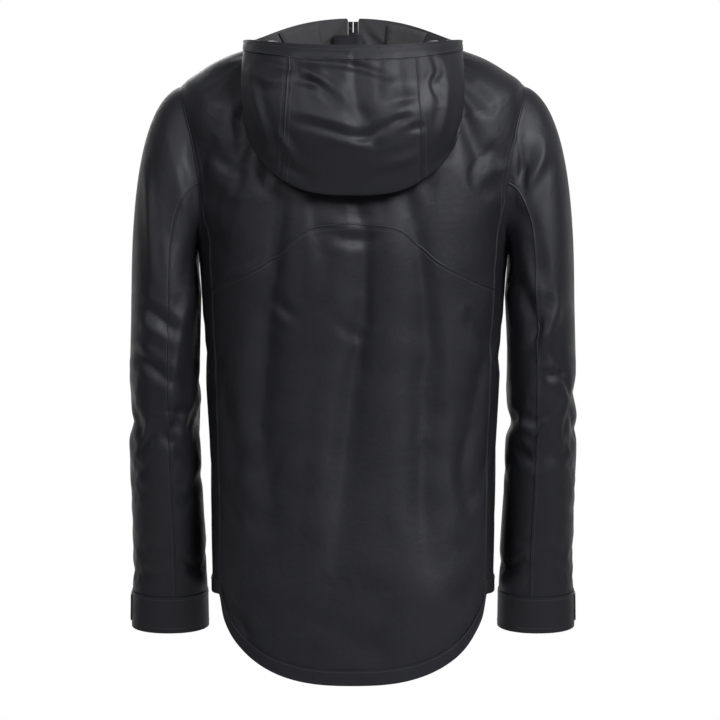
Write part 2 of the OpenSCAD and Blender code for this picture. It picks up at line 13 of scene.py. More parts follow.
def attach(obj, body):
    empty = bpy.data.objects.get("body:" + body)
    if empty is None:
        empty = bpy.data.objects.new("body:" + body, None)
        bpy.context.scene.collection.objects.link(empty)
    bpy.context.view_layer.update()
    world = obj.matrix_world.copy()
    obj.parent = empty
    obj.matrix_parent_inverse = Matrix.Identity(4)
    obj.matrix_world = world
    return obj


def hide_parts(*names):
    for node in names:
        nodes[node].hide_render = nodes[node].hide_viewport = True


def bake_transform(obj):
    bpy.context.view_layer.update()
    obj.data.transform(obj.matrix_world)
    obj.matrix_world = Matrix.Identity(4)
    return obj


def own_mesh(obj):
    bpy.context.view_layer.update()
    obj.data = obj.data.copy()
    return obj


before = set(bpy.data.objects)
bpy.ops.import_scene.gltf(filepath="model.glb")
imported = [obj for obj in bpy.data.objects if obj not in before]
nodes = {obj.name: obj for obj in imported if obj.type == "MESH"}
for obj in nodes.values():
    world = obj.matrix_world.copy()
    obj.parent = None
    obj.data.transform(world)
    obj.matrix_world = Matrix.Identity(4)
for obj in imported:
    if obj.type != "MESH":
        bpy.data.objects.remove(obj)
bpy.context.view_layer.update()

scene = bpy.context.scene
MM = 0.001

# ---------------------------------------------------------------- the CAD's surfaces, in millimetres

HEM_Z, COLLAR_TOP = -672.0, 53.0
ZIP_FOOT_Y, ZIP_HEAD_Y, ZIP_GAP = -132.0, -90.0, 6.5
SIDE_POWER, DEPTH_POWER = 0.75, 0.8
# Height along the body: half width, side y, side z, back y, back z, front z.
TORSO = [
    (0.00, (176, -4, -672, 112, -672, -672)),
    (0.30, (179, -2, -500, 107, -500, -500)),
    (0.55, (185, 0, -350, 113, -350, -350)),
    (0.72, (192, 2, -240, 122, -245, -250)),
    (0.82, (209, 4, -130, 118, -165, -180)),
    (0.90, (214, 6, -42, 104, -100, -128)),
    (0.93, (190, 6, -22, 94, -74, -110)),
    (0.96, (156, 5, -4, 82, -48, -92)),
    (1.00, (98, 2, 12, 64, -10, -66)),
]
# Height: centre x, centre y, half width, half depth.
SLEEVE = [
    (-721, (232, -58, 48, 38)),
    (-620, (232, -42, 46, 48)),
    (-520, (235, -20, 44, 58)),
    (-410, (235.5, -4, 43, 68)),
    (-300, (233.5, 0, 43, 74)),
]
YOKE_SEAM = [(0, 0.753), (0.2, 0.742), (0.44, 0.69), (0.7, 0.658), (0.91, 0.638)]
V_PER_MM = 0.30 / 172
TAIL_V = 106 * V_PER_MM
SIDE_U = 25.0
ARM_U, ARM_V, ARM_HALF = 27.0, 0.81, 0.09
LEAVE_Q = 180 - math.degrees(math.asin(SIDE_U / ARM_U))
LEAVE_V = ARM_V + ARM_HALF * math.cos(math.radians(LEAVE_Q))
OPENING_HALF, HOOD_HALF, HOOD_DROP, HOOD_BULGE = 138.0, 142.0, 184.0, 62.0
HOOD_SEAM_A = math.degrees(math.acos((82 / HOOD_HALF) ** (1 / 0.76)))
SLEEVE_TURN_Z, SLEEVE_END_Z = -300.0, -721.0
CUFF_S = 2 - 46 / 421
POCKET = ((304, 0.43), (311, 0.14))
CHEST = ((299, 0.79), (301, 0.57))


def sin(a):
    return np.sin(np.radians(a))


def cos(a):
    return np.cos(np.radians(a))


def rounded(c, p):
    return np.sign(c) * np.abs(c) ** p


def lerp(a, b, s):
    return a + (b - a) * s


def step(a, b, x):
    t = np.clip((x - a) / (b - a), 0, 1)
    return t * t * (3 - 2 * t)


def unit(v):
    return v / np.maximum(np.linalg.norm(v, axis=-1, keepdims=True), 1e-12)


def smooth(table, x):
    """A smooth curve through a keyed table, straight beyond its ends."""
    keys = np.array([k for k, _ in table], float)
    vals = np.array([v for _, v in table], float).reshape(len(table), -1)
    x = np.asarray(x, float)
    n = len(keys)
    lo, hi = np.maximum(np.arange(n) - 1, 0), np.minimum(np.arange(n) + 1, n - 1)
    slope = (vals[hi] - vals[lo]) / (keys[hi] - keys[lo])[:, None]
    i = np.clip(np.searchsorted(keys, x, "right") - 1, 0, n - 2)
    h = (keys[i + 1] - keys[i])[..., None]
    s = (x[..., None] - keys[i][..., None]) / h
    inside = (
        (1 + 2 * s) * (1 - s) ** 2 * vals[i]
        + s * (1 - s) ** 2 * h * slope[i]
        + s * s * (3 - 2 * s) * vals[i + 1]
        - s * s * (1 - s) * h * slope[i + 1]
    )
    below = vals[0] + slope[0] * (x[..., None] - keys[0])
    above = vals[-1] + slope[-1] * (x[..., None] - keys[-1])
    out = np.where(x[..., None] < keys[0], below, np.where(x[..., None] > keys[-1], above, inside))
    return out[..., 0] if out.shape[-1] == 1 else out


def zip_y(z):
    return lerp(ZIP_FOOT_Y, ZIP_HEAD_Y, (z - HEM_Z) / (COLLAR_TOP - HEM_Z))


def torso(u, v):
    """The body's surface: u degrees round from the left side over the back, v from the hem to the neck."""
    u, v = np.broadcast_arrays(np.asarray(u, float), np.asarray(v, float))
    k = smooth(TORSO, v)
    s = np.abs(sin(u))
    front = sin(u) < 0
    end_y = np.where(front, zip_y(k[..., 5]), k[..., 3])
    end_z = np.where(front, k[..., 5], k[..., 4])
    x = k[..., 0] * rounded(cos(u), SIDE_POWER)
    return np.stack([x, lerp(k[..., 1], end_y, s**DEPTH_POWER), lerp(k[..., 2], end_z, s**1.6)], -1)


def torso_off(u, v, d):
    """The point d outside the body's surface."""
    n = unit(np.cross(torso(u + 0.5, v) - torso(u - 0.5, v), torso(u, v + 0.004) - torso(u, v - 0.004)))
    return torso(u, v) + n * np.asarray(d, float)[..., None]


def edge_u(v):
    """How far round from the side the front and back panels start."""
    eye = ARM_U * np.sqrt(np.maximum(0, 1 - ((v - ARM_V) / ARM_HALF) ** 2))
    return np.where(v < LEAVE_V + 1e-9, SIDE_U, np.where(v < ARM_V + ARM_HALF - 1e-9, eye, 0))


def across_back(s, edge=SIDE_U):
    x = (cos(180 * s) + 1 - 2 * s) / 2
    return np.degrees(np.arccos(np.clip(cos(edge) * rounded(x, 1 / SIDE_POWER), -1, 1)))


def across_front(s, v):
    centre, far = ZIP_GAP / smooth(TORSO, v)[..., 0], cos(edge_u(v)) ** SIDE_POWER
    x = lerp(centre, far, 0.75 * s + 0.25 * sin(90 * s))
    return -np.degrees(np.arccos(np.clip(x ** (1 / SIDE_POWER), -1, 1)))


def tail_edge_v(u):
    x = np.minimum(1, np.abs(cos(u)) / cos(SIDE_U)) ** SIDE_POWER
    return -TAIL_V * np.sqrt(np.maximum(0, 1 - x**2.6))


def opening(u):
    """The rim of the hood's opening."""
    s = np.abs(sin(u))
    front = sin(u) < 0
    y = lerp(12.0, np.where(front, ZIP_HEAD_Y, 135.0), s**DEPTH_POWER)
    z = 10 + s * s * np.where(front, COLLAR_TOP - 10, -18.0)
    return np.stack([OPENING_HALF * rounded(cos(u), 0.844), y, z], -1)


def bend(a, m, b, s):
    s = np.asarray(s, float)[..., None]
    return (1 - s) ** 2 * a + 2 * s * (1 - s) * m + s * s * b


def collar(u, w):
    seam, rim, c = torso(u, 1.0), opening(u), cos(u)
    push = np.stack([-8 * np.sign(c), -3 + 0 * c, 12 + 0 * c], -1) * (c * c)[..., None]
    return bend(seam, (seam + rim) / 2 + push, rim, w)


def off_back(x, z, d):
    """The point d outside the back at (x, z)."""
    x, z = np.broadcast_arrays(np.asarray(x, float), np.asarray(z, float))

    def round_at(v):
        return np.degrees(np.arccos(np.minimum(1, (np.abs(x) / smooth(TORSO, v)[..., 0]) ** (1 / SIDE_POWER))))

    low, high = np.full(x.shape, 0.6), np.full(x.shape, 1.0)
    for _ in range(18):
        v = (low + high) / 2
        under = torso(round_at(v), v)[..., 2] < z
        low, high = np.where(under, v, low), np.where(under, high, v)
    v = (low + high) / 2
    u = round_at(v)
    return torso_off(np.where(x < 0, 180 - u, u), v, np.broadcast_to(d, x.shape))


def hood_fold(a):
    """The lowest fold of the hanging hood, and the middle of its outer layer's curve from the rim."""
    c, s = cos(a), np.abs(sin(a))
    fold = off_back(HOOD_HALF * rounded(c, 0.76), -4 - HOOD_DROP * s**0.76, 13.0)
    return fold, (opening(a) + fold) / 2 + np.stack([7 * c, HOOD_BULGE * s**0.8, 0 * c], -1)


def sleeve(q, s):
    """The left sleeve: q degrees round from its outer side over the back, s from the armhole to the cuff."""
    q, s = np.broadcast_arrays(np.asarray(q, float), np.asarray(s, float))

    def ring(z):
        k = smooth(SLEEVE, z)
        lean = 0.2 * (z - SLEEVE_TURN_Z) / (SLEEVE_END_Z - SLEEVE_TURN_Z)
        x = k[..., 0] + k[..., 2] * rounded(cos(q), 0.9)
        y = k[..., 1] + k[..., 3] * rounded(sin(q), 0.9)
        return np.stack([x, y, z - lean * k[..., 3] * sin(q)], -1)

    top = torso(ARM_U * sin(q), ARM_V + ARM_HALF * cos(q))
    end = ring(np.full(q.shape, SLEEVE_TURN_Z))
    x = end[..., 0] + 7 * np.maximum(0, -cos(q))
    middle = np.stack([x, end[..., 1], lerp(top[..., 2], end[..., 2], 0.08)], -1)
    arm = ring(lerp(SLEEVE_TURN_Z, SLEEVE_END_Z, np.maximum(s - 1, 0)))
    return np.where((s > 1)[..., None], arm, bend(top, middle, end, np.minimum(s, 1)))


# ---------------------------------------------------------------- folds placed one by one

# Tube folds of the back: height, (x, depth, half width) down each one.
VALLEYS = [
    [(-640, (22, 2, 22)), (-560, (14, 7, 19)), (-480, (6, 10, 17)), (-400, (-3, 11, 16)), (-300, (-14, 10, 16)), (-225, (-18, 4, 15))],
    [(-650, (-92, 2, 19)), (-560, (-85, 8, 18)), (-450, (-89, 10, 18)), (-350, (-92, 10, 17)), (-280, (-86, 7, 15)), (-225, (-80, 3, 14))],
    [(-640, (96, 3, 22)), (-540, (104, 8, 22)), (-450, (112, 10, 20)), (-350, (106, 9, 18)), (-270, (98, 7, 17)), (-215, (92, 3, 15))],
    [(-610, (-150, 2, 11)), (-520, (-136, 6, 12)), (-460, (-146, 6, 12)), (-400, (-158, 5, 11)), (-340, (-170, 2, 11))],
    [(-600, (150, 2, 13)), (-500, (146, 5, 13)), (-430, (158, 4, 13)), (-380, (168, 2, 11))],
]


def valley_depth(x, z):
    total = np.zeros_like(x)
    for keys in VALLEYS:
        low, high = keys[0][0], keys[-1][0]
        k = smooth(keys, np.clip(z, low, high))
        fade = step(low - 30, low + 20, z) * (1 - step(high - 10, high + 35, z))
        across = np.abs(x - k[..., 0]) / np.maximum(k[..., 2], 6)
        total += np.maximum(k[..., 1], 0) * fade * np.exp(-(across**1.7))
    return total


# Sharper creases seen from behind: part, height (negative for a valley), half width, and points (x, z).
CREASES = [
    # Hood: under the brim, across the centre panel, the swag, the lower corners, the right-hand edge.
    ("hood", -3.0, 5, [(67, -25), (37, -28), (1, -33), (-23, -40), (-44, -47)]),
    ("hood", 2.4, 6, [(67, -33), (49, -43), (25, -58), (4, -76)]),
    ("hood", -3.2, 5, [(67, -49), (43, -55), (31, -71)]),
    ("hood", -2.6, 5, [(67, -100), (43, -106), (13, -115), (-11, -120), (-35, -109), (-65, -94)]),
    ("hood", 2.0, 7, [(60, -90), (35, -97), (8, -104), (-18, -106)]),
    ("hood", 2.6, 6, [(123, -37), (102, -49), (76, -50)]),
    ("hood", -2.6, 5, [(110, -26), (88, -32), (67, -37)]),
    ("hood", -3.6, 6, [(92, -136), (76, -153), (52, -165)]),
    ("hood", 3.0, 5, [(88, -113), (80, -128), (68, -142)]),
    ("hood", 2.4, 6, [(-20, -156), (-59, -147), (-84, -138)]),
    ("hood", -3.4, 9, [(-38, -80), (-62, -72), (-84, -70)]),
    ("hood", -2.0, 4, [(-50, -101), (-65, -95)]),
    ("hood", -2.0, 4, [(-68, -110), (-84, -106)]),
    ("hood", -2.6, 4, [(-97, -19), (-103, -37), (-96, -54), (-104, -74)]),
    ("hood", 2.4, 5, [(-108, -20), (-114, -50), (-112, -86), (-104, -116)]),
    ("hood", 2.2, 5, [(126, -30), (119, -64), (108, -104), (98, -132)]),
    # Back yoke and panel.
    ("torso", -1.6, 6, [(147, -275), (131, -266), (116, -255)]),
    ("torso", -2.2, 7, [(93, -314), (82, -326), (72, -333)]),
    ("torso", 1.8, 6, [(97, -322), (86, -333), (76, -341)]),
    ("torso", 2.6, 7, [(26, -218), (12, -225), (-14, -227), (-36, -221)]),
    ("torso", -2.4, 8, [(24, -233), (4, -239), (-22, -238)]),
    ("torso", -1.8, 7, [(16, -340), (2, -352), (-14, -360)]),
    ("torso", -2.2, 8, [(139, -690), (135, -708), (122, -724)]),
    ("torso", -2.0, 8, [(-154, -700), (-146, -718), (-132, -730)]),
    # Left sleeve: the ridges down its back and the elbow.
    ("left", 2.2, 5, [(257, -140), (252, -181), (248, -246), (246, -283)]),
    ("left", 3.2, 12, [(226, -112), (210, -181), (196, -255), (193, -279)]),
    ("left", 4.0, 10, [(193, -279), (210, -340), (220, -397), (230, -463)]),
    ("left", -4.2, 7, [(262, -316), (238, -332), (214, -350)]),
    ("left", -4.4, 7, [(272, -372), (242, -397), (210, -419)]),
    ("left", 2.6, 7, [(262, -340), (240, -354), (222, -364)]),
    ("left", -2.8, 6, [(240, -443), (218, -449), (196, -452)]),
    ("left", -2.0, 6, [(226, -463), (201, -468)]),
    # Right sleeve.
    ("right", 3.0, 7, [(-235, -112), (-233, -136), (-217, -169), (-212, -195)]),
    ("right", -3.4, 8, [(-219, -120), (-211, -146), (-203, -170)]),
    ("right", -3.2, 9, [(-196, -276), (-214, -310), (-225, -346)]),
    ("right", 4.0, 8, [(-250, -314), (-241, -340), (-229, -372)]),
    ("right", -3.8, 7, [(-238, -316), (-229, -340), (-219, -362)]),
    ("right", -3.4, 6, [(-268, -394), (-248, -403), (-233, -405), (-230, -420)]),
    ("right", 3.4, 6, [(-205, -464), (-225, -472), (-245, -455)]),
    ("right", -2.4, 6, [(-203, -452), (-224, -459), (-240, -444)]),
]


def wander(p, scale, seed):
    """Smooth noise of about -1 to 1 at points p, as a sum of crossing waves."""
    r = np.random.default_rng(seed)
    total = np.zeros(p.shape[:-1])
    for _ in range(9):
        k = unit(r.normal(size=3)) * (2 * np.pi / (scale * r.uniform(0.7, 1.5)))
        total += np.sin(p @ k + r.uniform(0, 2 * np.pi))
    return total / 3


# ---------------------------------------------------------------- the cloth, before it settles

PARTS = ("torso", "left", "right", "hood")
PLAIN, HEM, CUFF, BRIM = 0, 1, 2, 3
HOLD, FIRM, TIGHT = 0.42, 0.55, 0.8


class Patch:
    """A grid of cloth. pin holds each point where it starts and grow lets its cloth out downwards.
    The first band rows, between two columns, are sewn double."""

    def __init__(self, points, part, pin, grow=0.0, band=0, zone=PLAIN, columns=(0, 10**6), closed=False):
        shape = points.shape[:2]
        self.points, self.part, self.closed = points, part, closed
        self.pin, self.grow = np.broadcast_to(pin, shape), np.broadcast_to(grow, shape)
        self.band, self.zone, self.columns = band, zone, columns

    def mirrored(self, part=None):
        points = self.points * (-1, 1, 1)
        return Patch(points, part or self.part, self.pin, self.grow, self.band, self.zone, self.columns, self.closed)


HEM_ROWS = (0, 6, 12, 18)
HEM_TOP = HEM_ROWS[-1] * V_PER_MM
low_rows = np.concatenate([np.linspace(HEM_TOP, 0.30, 25)[1:], np.linspace(0.30, LEAVE_V, 37)[1:]])
arm_q = np.linspace(LEAVE_Q, 0, 25)
up_rows = np.concatenate([low_rows, (ARM_V + ARM_HALF * cos(arm_q))[1:], np.linspace(ARM_V + ARM_HALF, 1, 15)[1:]])
hem_rows = np.array(HEM_ROWS) * V_PER_MM
BACK_S, FRONT_S = np.linspace(0, 1, 59), np.linspace(0, 1, 30)


def near_zips(p):
    """1 on the fronts round the pocket zips, falling to 0 away from them."""
    close = np.zeros(p.shape[:2])
    for ends in (POCKET, CHEST):
        a, b = (torso(*e) for e in ends)
        t = np.clip(((p - a) @ (b - a)) / ((b - a) @ (b - a)), -0.03, 1.03)
        d = np.linalg.norm(p - (a + t[..., None] * (b - a)), axis=-1)
        close = np.maximum(close, 1 - step(14, 40, d))
    return close


def moved_out(u, v, p, d):
    return p + unit(torso_off(u, v, np.ones(u.shape)) - p) * d[..., None]


def back_patch():
    rows = [tail_edge_v(across_back(BACK_S)) + h for h in hem_rows]
    for up in up_rows:
        rows.append(lerp(rows[3], 0.30, (up - HEM_TOP) / (0.30 - HEM_TOP)) if up < 0.30 else np.full(BACK_S.shape, up))
    v = np.array(rows)
    u = np.array([across_back(BACK_S, edge_u(row[0])) for row in v])
    p = torso(u, v)
    inner = step(0, 0.06, BACK_S) * (1 - step(0.94, 1, BACK_S))
    ease = wander(p, 150, 3) * 1.0 + wander(p, 60, 5) * 0.4
    p = moved_out(u, v, p, (ease - valley_depth(p[..., 0], p[..., 2])) * inner)
    pin = np.full(p.shape[:2], HOLD)
    pin[:4] = FIRM
    pin[-1] = 1
    return Patch(p, "torso", pin, band=3, zone=HEM)


def front_patch():
    v = np.concatenate([hem_rows, up_rows])[:, None] + 0 * FRONT_S
    u = np.array([across_front(FRONT_S, row) for row in v])
    p = torso(u, v)
    ease = (1 + wander(p * (1, 1, 0.5), 110, 21)) * 1.2 * step(0.04, 0.25, FRONT_S) * (1 - near_zips(p))
    p = moved_out(u, v, p, ease * step(0, 0.05, 1 - FRONT_S))
    pin = np.maximum(HOLD + 0.05, near_zips(p) * 0.97)
    pin[:4] = np.maximum(pin[:4], FIRM)
    pin[-1] = 1
    pin[:, :2] = 1
    pin[:, 2] = TIGHT
    return Patch(p, "torso", pin, band=3, zone=HEM)


def side_patch():
    q = np.linspace(LEAVE_Q, 360 - LEAVE_Q, 19)
    u, top = ARM_U * sin(q), ARM_V + ARM_HALF * cos(q)
    rows = np.concatenate([hem_rows, low_rows])
    v = np.array([np.where(r > 0.30, lerp(0.30, top, (r - 0.30) / (LEAVE_V - 0.30)), r) for r in rows])
    pin = np.full(v.shape, HOLD)
    pin[:4] = FIRM
    return Patch(torso(u + 0 * v, v), "torso", pin, band=3, zone=HEM)


SLEEVE_Q = np.concatenate([arm_q[::-1], np.linspace(LEAVE_Q, 360 - LEAVE_Q, 19)[1:], (360 - arm_q)[1:-1]])
SLEEVE_S = np.concatenate([np.linspace(2, CUFF_S, 7), np.linspace(CUFF_S, 1, 49)[1:], np.linspace(1, 0, 27)[1:]])


def sleeve_patch():
    q, s = np.meshgrid(SLEEVE_Q, SLEEVE_S)
    p = sleeve(q, s)
    pin = np.where(s < 0.35, lerp(FIRM, 0.4, s / 0.35), 0.36)
    pin = np.maximum(pin, lerp(0.36, 0.7, step(1.36, 1.46, s)))
    pin = np.maximum(pin, step(CUFF_S - 0.15, CUFF_S, s))
    grow = -0.14 * np.clip(SLEEVE_TURN_Z + 20 - p[..., 2], 0, 190)
    return Patch(p, "left", pin, grow, band=6, zone=CUFF, closed=True)


def even_curve(controls, count, head):
    """Points along smooth curves through controls (k, n, 3), the first at the given distances and the rest even."""
    pts = np.concatenate([2 * controls[:1] - controls[1:2], controls, 2 * controls[-1:] - controls[-2:-1]])
    fine = []
    for i in range(len(controls) - 1):
        a, b, c, d = pts[i : i + 4]
        for t in np.linspace(0, 1, 16, endpoint=i == len(controls) - 2):
            fine.append(0.5 * (2 * b + (c - a) * t + (2 * a - 5 * b + 4 * c - d) * t * t + (3 * b - a - 3 * c + d) * t**3))
    fine = np.array(fine)
    run = np.concatenate([np.zeros((1, fine.shape[1])), np.cumsum(np.linalg.norm(np.diff(fine, axis=0), axis=2), axis=0)])
    out = np.empty((count, fine.shape[1], 3))
    for j in range(fine.shape[1]):
        at = np.concatenate([head, np.linspace(head[-1], run[-1, j], count - len(head) + 1)[1:]])
        for c in range(3):
            out[:, j, c] = np.interp(at, run[:, j], fine[:, j, c])
    return out


def hood_patch():
    """The collar and the hood in one, from the rim over the lowest fold and up inside to the neck."""
    front, back = across_front(FRONT_S, np.ones(30)), across_back(BACK_S, 0.0)
    u = np.concatenate([front, back[1:], 180 - front[::-1][1:]])
    inside = np.minimum(u, 180 - u)
    amount = step(-8, 24, inside)[:, None]
    seam, rim = torso(u, 1.0), opening(u)
    a = np.clip(u, 1, 179)
    c, s = cos(a), np.abs(sin(a))
    fold, middle = hood_fold(a)
    x, z = HOOD_HALF * rounded(c, 0.76), -4 - HOOD_DROP * s**0.76
    seam_x, seam_z = 96 * rounded(c, 0.8), 10 - 18 * s
    inner_low = off_back(lerp(x, seam_x, 0.3), lerp(z, seam_z, 0.3), 11.0)
    inner_high = off_back(lerp(x, seam_x, 0.75), lerp(z, seam_z, 0.75), 9.0)
    outer = [bend(rim, middle, fold, np.full(u.shape, b)) for b in (0.2, 0.45, 0.7, 0.92)]
    hood = [rim, *outer, fold, inner_low, inner_high, seam]
    shares = (1, 0.9, 0.78, 0.64, 0.52, 0.46, 0.3, 0.14, 0)
    controls = [lerp(collar(u, np.full(u.shape, w)), b, amount) for w, b in zip(shares, hood)]
    p = even_curve(np.array(controls), 62, (0.0, 6.5, 13.0, 19.5))
    pin = np.maximum(0.34, FIRM * (1 - step(-12, 10, inside))) + np.zeros(p.shape[:2])
    pin[:4] = np.maximum(pin[:4], [[0.95], [TIGHT], [0.7], [0.6]])
    pin[-1] = 1
    pin[:, 0] = pin[:, -1] = 1
    grow = 0.03 * (p[..., 2] - seam[None, :, 2])
    return Patch(p, "hood", pin, grow, band=3, zone=BRIM, columns=(30, 86))


def lengths(points, axis):
    """Distance from a grid's first row or column, averaged over the other way."""
    d = np.linalg.norm(np.diff(points, axis=axis), axis=2).mean(axis=1 - axis)
    return np.concatenate([[0], np.cumsum(d)])


def joined(patches):
    """One mesh of all the patches, with points that lie together made one."""
    verts, quads, parts, zones, uvs, pins, rests = [], [], [], [], [], [], []
    start = 0
    for patch in patches:
        rows, columns = patch.points.shape[:2]
        i, j = np.meshgrid(np.arange(rows - 1), np.arange(columns if patch.closed else columns - 1), indexing="ij")
        k = (j + 1) % columns
        quad = np.stack([i * columns + j, i * columns + k, (i + 1) * columns + k, (i + 1) * columns + j], -1)
        across, up = lengths(patch.points, 1), lengths(patch.points, 0)
        across = np.append(across, across[-1] + across[1])
        corners = np.stack([across[np.stack([j, j + 1, j + 1, j])], up[np.stack([i, i, i + 1, i + 1])]], -1)
        uvs.append(corners.transpose(1, 2, 0, 3).reshape(-1, 2))
        verts.append(patch.points.reshape(-1, 3))
        rests.append((patch.points * (1.04, 1.04, 1) + patch.grow[..., None] * (0, 0, 1)).reshape(-1, 3))
        pins.append(patch.pin.reshape(-1))
        quads.append(quad.reshape(-1, 4) + start)
        parts.append(np.full(i.size, PARTS.index(patch.part)))
        double = (i < patch.band) & (j >= patch.columns[0]) & (j < patch.columns[1])
        zones.append(np.where(double, patch.zone, PLAIN).reshape(-1))
        start += rows * columns
    mesh = bpy.data.meshes.new("shell_cloth")
    mesh.from_pydata((np.concatenate(verts) * MM).tolist(), [], np.concatenate(quads).tolist())
    mesh.attributes.new("pin", "FLOAT", "POINT").data.foreach_set("value", np.concatenate(pins).astype(np.float32))
    rest = (np.concatenate(rests) * MM).astype(np.float32)
    mesh.attributes.new("rest", "FLOAT_VECTOR", "POINT").data.foreach_set("vector", rest.ravel())
    mesh.attributes.new("zone", "INT", "FACE").data.foreach_set("value", np.concatenate(zones).astype(np.int32))
    mesh.polygons.foreach_set("material_index", np.concatenate(parts).astype(np.int32))
    mesh.uv_layers.new(name="cloth").data.foreach_set("uv", (np.concatenate(uvs) * MM).ravel())
    for name in PARTS:
        mesh.materials.append(bpy.data.materials.new("part_" + name))
    bm = bmesh.new()
    bm.from_mesh(mesh)
    bmesh.ops.remove_doubles(bm, verts=bm.verts, dist=0.0003)
    bmesh.ops.dissolve_degenerate(bm, edges=bm.edges, dist=0.00005)
    bmesh.ops.recalc_face_normals(bm, faces=bm.faces)
    bm.to_mesh(mesh)
    bm.free()
    obj = bpy.data.objects.new("shell_cloth", mesh)
    scene.collection.objects.link(obj)
    return obj


def points_of(mesh):
    co = np.empty(len(mesh.vertices) * 3)
    mesh.vertices.foreach_get("co", co)
    return co.reshape(-1, 3)


def normals_of(mesh):
    n = np.empty(len(mesh.vertices) * 3, np.float32)
    mesh.vertex_normals.foreach_get("vector", n)
    return n.reshape(-1, 3).astype(float)


def move_to(mesh, co):
    mesh.vertices.foreach_set("co", np.ascontiguousarray(co).ravel())
    mesh.update()


def averaged(mesh, values, rounds):
    """Values smoothed over the mesh, each point with its neighbours, for a number of rounds."""
    e = np.empty(len(mesh.edges) * 2, np.int64)
    mesh.edges.foreach_get("vertices", e)
    a, b = e.reshape(-1, 2).T
    n = len(values)
    count = np.maximum(np.bincount(a, minlength=n) + np.bincount(b, minlength=n), 1)[:, None]
    for _ in range(rounds):
        total = [np.bincount(a, values[b, c], n) + np.bincount(b, values[a, c], n) for c in range(values.shape[1])]
        values = 0.5 * values + 0.5 * np.stack(total, -1) / count
    return values


def settle(obj, frames):
    """Lets the cloth out a little, so that it folds under its own weight, and keeps the folds but not the sagging."""
    mesh = obj.data
    before = points_of(mesh)
    rest_co, pin = np.empty(len(before) * 3, np.float32), np.empty(len(before), np.float32)
    mesh.attributes["rest"].data.foreach_get("vector", rest_co)
    mesh.attributes["pin"].data.foreach_get("value", pin)
    obj.shape_key_add(name="Basis", from_mix=False)
    rest = obj.shape_key_add(name="rest", from_mix=False)
    rest.data.foreach_set("co", rest_co)
    group = obj.vertex_groups.new(name="pin")
    pin = np.round(pin, 2)
    for weight in np.unique(pin):
        group.add(np.flatnonzero(pin == weight).tolist(), float(weight), "REPLACE")
    cloth = obj.modifiers.new("settle", "CLOTH")
    st = cloth.settings
    st.quality = 6
    st.mass = 0.12
    st.tension_stiffness = st.compression_stiffness = 25
    st.shear_stiffness = 12
    st.bending_stiffness = 0.3
    st.air_damping = 3
    st.vertex_group_mass = "pin"
    st.pin_stiffness = 0.008
    st.rest_shape_key = rest
    st.effector_weights.gravity = 0.35
    cloth.collision_settings.use_collision = False
    cloth.point_cache.frame_end = frames
    scene.frame_start, scene.frame_end = 1, frames
    for f in range(1, frames + 1):
        scene.frame_set(f)
    after = points_of(obj.evaluated_get(bpy.context.evaluated_depsgraph_get()).data)
    obj.modifiers.remove(cloth)
    obj.shape_key_clear()
    scene.frame_set(1)
    moved = after - before
    moved -= 0.8 * averaged(mesh, moved, 90)
    far = np.linalg.norm(moved, axis=1, keepdims=True)
    moved *= 0.012 * np.tanh(far / 0.012) / np.maximum(far, 1e-9)
    move_to(mesh, before + moved)


left_side, left_front, left_arm = side_patch(), front_patch(), sleeve_patch()
shell = joined(
    [
        back_patch(),
        left_front,
        left_front.mirrored(),
        left_side,
        left_side.mirrored(),
        left_arm,
        left_arm.mirrored("right"),
        hood_patch(),
    ]
)
base_before = points_of(shell.data)
cut_area = [0.0] * 4
for face in shell.data.polygons:
    cut_area[face.material_index] += face.area
settle(shell, 40)
base_moved = points_of(shell.data) - base_before
base_tree = KDTree(len(base_before))
for k, co in enumerate(base_before):
    base_tree.insert(co, k)
base_tree.balance()


def with_cloth(points):
    """Points near the cloth as it started, in metres, moved as the cloth beside them has moved."""
    out = np.array(points, float)
    for k, p in enumerate(points):
        near = base_tree.find_n(p, 4)
        w = np.array([1 / (d + 0.001) ** 2 for _, _, d in near])
        out[k] += (base_moved[[i for _, i, _ in near]] * w[:, None]).sum(0) / w.sum()
    return out


def apply_modifiers(obj):
    mesh = bpy.data.meshes.new_from_object(obj.evaluated_get(bpy.context.evaluated_depsgraph_get()))
    old = obj.data
    obj.modifiers.clear()
    obj.data = mesh
    bpy.data.meshes.remove(old)
    mesh.name = obj.name
    return obj


rounder = shell.modifiers.new("round", "SUBSURF")
rounder.levels = rounder.render_levels = 1
apply_modifiers(shell)


def to_line(p, line):
    """Distance from each point to a line of points, and how far along it the nearest place is, from 0 to 1."""
    best, along = np.full(len(p), 1e9), np.zeros(len(p))
    run = np.concatenate([[0], np.cumsum(np.linalg.norm(np.diff(line, axis=0), axis=1))])
    for k in range(len(line) - 1):
        a, b = line[k], line[k + 1]
        t = np.clip(((p - a) @ (b - a)) / ((b - a) @ (b - a)), 0, 1)
        d = np.linalg.norm(p - (a + t[:, None] * (b - a)), axis=1)
        near = d < best
        best = np.where(near, d, best)
        along = np.where(near, (run[k] + t * (run[k + 1] - run[k])) / run[-1], along)
    return best, along


